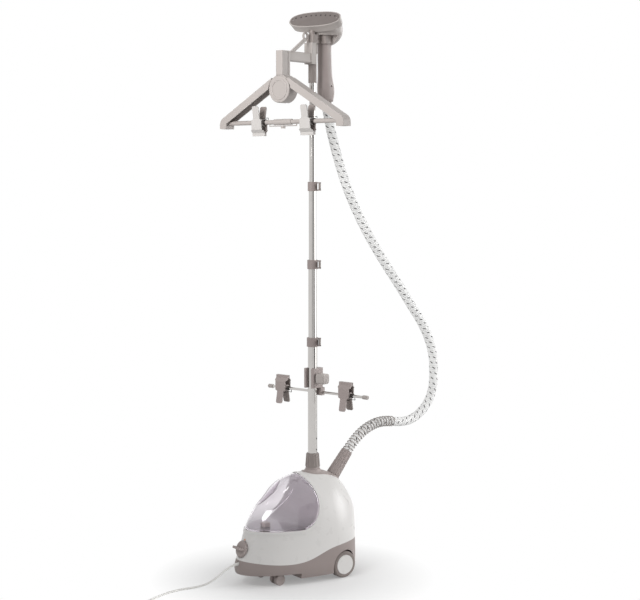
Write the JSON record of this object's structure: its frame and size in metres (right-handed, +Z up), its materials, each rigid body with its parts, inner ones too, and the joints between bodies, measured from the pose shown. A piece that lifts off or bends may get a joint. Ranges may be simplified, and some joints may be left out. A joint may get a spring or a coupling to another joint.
{
  "type": "garment steamer",
  "caption": "Rolling upright garment steamer: wheeled base with clear water tank, telescopic chrome pole, clip hanger, trouser bar, woven steam hose and hand-held steam head.",
  "frame": {"origin": "on the floor under the pole axis", "axes": "+Z up along the pole, -Y towards the front of the base, +X to the base's left as it faces the user"},
  "size_m": [0.4508, 1.2019, 1.652],
  "materials": {
    "white_plastic": "satin moulded",
    "grey_plastic": "satin moulded",
    "light_grey_plastic": "satin moulded",
    "dark_plastic": "fine matt",
    "clear_tank": "clear smoky moulding",
    "chrome_tube": "polished",
    "steel": "drawn",
    "boiler_alloy": "as cast",
    "tyre_grey": "matt",
    "hose_weave": "woven sleeve with grey flecks",
    "white_cord": "smooth",
    "lens": "moulded",
    "pin_metal": "nickel plated"
  },
  "bodies": {
    "base": {"base_tray": "grey_plastic", "upper_housing": "white_plastic", "deck_plate": "grey_plastic", "boiler": "boiler_alloy", "heating_element": "steel", "boiler_pipes": "steel", "power_switch": "dark_plastic", "indicator_lens": "lens", "cord_gland": "white_cord", "rear_axle": "steel", "housing_screws": "steel", "tube_1": "chrome_tube", "lock_collar_1": "grey_plastic", "hose_outlet": "grey_plastic", "hose_guard": "steel", "steam_hose_lower": "hose_weave", "steam_hose_upper": "hose_weave", "mains_cord": "white_cord", "mains_coil": "white_cord", "mains_plug": "white_cord", "plug_pins": "pin_metal"},
    "wheel_left": {"rear_wheel_left": "tyre_grey", "hubcap_left": "white_plastic"},
    "wheel_right": {"rear_wheel_right": "tyre_grey", "hubcap_right": "white_plastic"},
    "caster_left": {"caster_fork_left": "grey_plastic"},
    "caster_right": {"caster_fork_right": "grey_plastic"},
    "caster_pair_left": {"caster_wheels_left": "grey_plastic"},
    "caster_pair_right": {"caster_wheels_right": "grey_plastic"},
    "steam_dial": {"dial": "grey_plastic"},
    "tank": {"tank_shell": "clear_tank", "tank_valve": "grey_plastic"},
    "socket_nut": {"pole_nut": "grey_plastic"},
    "outlet_nut": {"hose_nut": "grey_plastic"},
    "stage_2": {"tube_2": "chrome_tube", "lock_collar_2": "grey_plastic"},
    "stage_3": {"tube_3": "chrome_tube", "lock_collar_3": "grey_plastic"},
    "stage_4": {"tube_4": "chrome_tube", "cradle": "grey_plastic"},
    "lever_1": {"lock_lever_1": "dark_plastic"},
    "lever_2": {"lock_lever_2": "dark_plastic"},
    "lever_3": {"lock_lever_3": "dark_plastic"},
    "trouser_bar": {"bar_bracket": "grey_plastic", "trouser_rod": "chrome_tube", "rod_caps": "light_grey_plastic", "lower_clip_backs": "dark_plastic"},
    "bar_knob": {"clamp_knob": "light_grey_plastic"},
    "lower_jaw_left": {"lower_clip_jaw_left": "grey_plastic"},
    "lower_jaw_right": {"lower_clip_jaw_right": "grey_plastic"},
    "hanger": {"hanger_bracket": "light_grey_plastic", "hanger_hub": "light_grey_plastic", "hanger_arms": "light_grey_plastic", "hanger_bar": "light_grey_plastic", "upper_clip_backs": "dark_plastic"},
    "upper_jaw_left": {"upper_clip_jaw_left": "light_grey_plastic"},
    "upper_jaw_right": {"upper_clip_jaw_right": "light_grey_plastic"},
    "handset": {"handset_handle": "grey_plastic", "handset_head": "light_grey_plastic", "steam_plate": "grey_plastic"}
  },
  "joints": [
    {"name": "wheel_left_roll", "type": "hinge", "parent": "base", "child": "wheel_left", "pos_m": [-0.093, 0.041, 0.0395], "axis": [1, 0, 0], "continuous": true},
    {"name": "wheel_right_roll", "type": "hinge", "parent": "base", "child": "wheel_right", "pos_m": [0.093, 0.041, 0.0395], "axis": [1, 0, 0], "continuous": true},
    {"name": "caster_left_swivel", "type": "hinge", "parent": "base", "child": "caster_left", "pos_m": [-0.05, -0.147, 0.04], "axis": [0, 0, 1], "continuous": true},
    {"name": "caster_right_swivel", "type": "hinge", "parent": "base", "child": "caster_right", "pos_m": [0.05, -0.147, 0.04], "axis": [0, 0, 1], "continuous": true},
    {"name": "caster_left_roll", "type": "hinge", "parent": "caster_left", "child": "caster_pair_left", "pos_m": [-0.05, -0.159, 0.016], "axis": [1, 0, 0], "continuous": true},
    {"name": "caster_right_roll", "type": "hinge", "parent": "caster_right", "child": "caster_pair_right", "pos_m": [0.05, -0.159, 0.016], "axis": [1, 0, 0], "continuous": true},
    {"name": "dial_turn", "type": "hinge", "parent": "base", "child": "steam_dial", "pos_m": [0, -0.245, 0.106], "axis": [0, -0.9511, 0.309], "range_deg": [0, 180]},
    {"name": "tank_lift", "type": "slide", "parent": "base", "child": "tank", "axis": [0, -0.7071, 0.7071], "range_m": [0, 0.12]},
    {"name": "socket_nut_turn", "type": "hinge", "parent": "base", "child": "socket_nut", "pos_m": [0, 0, 0.34], "axis": [0, 0, 1], "continuous": true},
    {"name": "outlet_nut_turn", "type": "hinge", "parent": "base", "child": "outlet_nut", "pos_m": [0, 0.071, 0.283], "axis": [0, 0.6293, 0.7771], "continuous": true},
    {"name": "stage_2_slide", "type": "slide", "parent": "base", "child": "stage_2", "axis": [0, 0, 1], "range_m": [-0.18, 0], "deforming": ["steam_hose_upper"]},
    {"name": "stage_3_slide", "type": "slide", "parent": "stage_2", "child": "stage_3", "axis": [0, 0, 1], "range_m": [-0.18, 0], "deforming": ["steam_hose_upper"]},
    {"name": "stage_4_slide", "type": "slide", "parent": "stage_3", "child": "stage_4", "axis": [0, 0, 1], "range_m": [-0.18, 0], "deforming": ["steam_hose_upper"]},
    {"name": "lever_1_flip", "type": "hinge", "parent": "base", "child": "lever_1", "pos_m": [0.01205, 0.0172, 0.691], "axis": [0, 0, 1], "range_deg": [0, 100]},
    {"name": "lever_2_flip", "type": "hinge", "parent": "stage_2", "child": "lever_2", "pos_m": [0.01205, 0.0172, 0.92], "axis": [0, 0, 1], "range_deg": [0, 100]},
    {"name": "lever_3_flip", "type": "hinge", "parent": "stage_3", "child": "lever_3", "pos_m": [0.01205, 0.0172, 1.148], "axis": [0, 0, 1], "range_deg": [0, 100]},
    {"name": "trouser_bar_slide", "type": "slide", "parent": "base", "child": "trouser_bar", "axis": [0, 0, 1], "range_m": [-0.06, 0.03]},
    {"name": "bar_knob_turn", "type": "hinge", "parent": "trouser_bar", "child": "bar_knob", "pos_m": [0.03653, 0.01047, 0.585], "axis": [0.9613, 0.2756, 0], "continuous": true},
    {"name": "lower_jaw_left_open", "type": "hinge", "parent": "trouser_bar", "child": "lower_jaw_left", "pos_m": [-0.13364, -0.01647, 0.541], "axis": [0.9613, 0.2756, 0], "range_deg": [0, 20], "stiffness_Nm_per_rad": 0.6},
    {"name": "lower_jaw_right_open", "type": "hinge", "parent": "trouser_bar", "child": "lower_jaw_right", "pos_m": [0.09899, 0.05023, 0.541], "axis": [0.9613, 0.2756, 0], "range_deg": [0, 20], "stiffness_Nm_per_rad": 0.6},
    {"name": "hanger_swivel", "type": "hinge", "parent": "stage_4", "child": "hanger", "pos_m": [0, 0, 1.5], "axis": [0, 0, 1], "range_deg": [-90, 90]},
    {"name": "upper_jaw_left_open", "type": "hinge", "parent": "hanger", "child": "upper_jaw_left", "pos_m": [-0.0504, -0.15073, 1.331], "axis": [0.9613, 0.2756, 0], "range_deg": [-20, 0], "stiffness_Nm_per_rad": 0.6},
    {"name": "upper_jaw_right_open", "type": "hinge", "parent": "hanger", "child": "upper_jaw_right", "pos_m": [0.12262, -0.10112, 1.331], "axis": [0.9613, 0.2756, 0], "range_deg": [-20, 0], "stiffness_Nm_per_rad": 0.6},
    {"name": "handset_lift", "type": "slide", "parent": "stage_4", "child": "handset", "axis": [0, 0, 1], "range_m": [0, 0.05]}
  ],
  "couplings": [
    {"joint": "stage_3_slide", "follows": "stage_2_slide", "ratio": 1},
    {"joint": "stage_4_slide", "follows": "stage_2_slide", "ratio": 1}
  ]
}
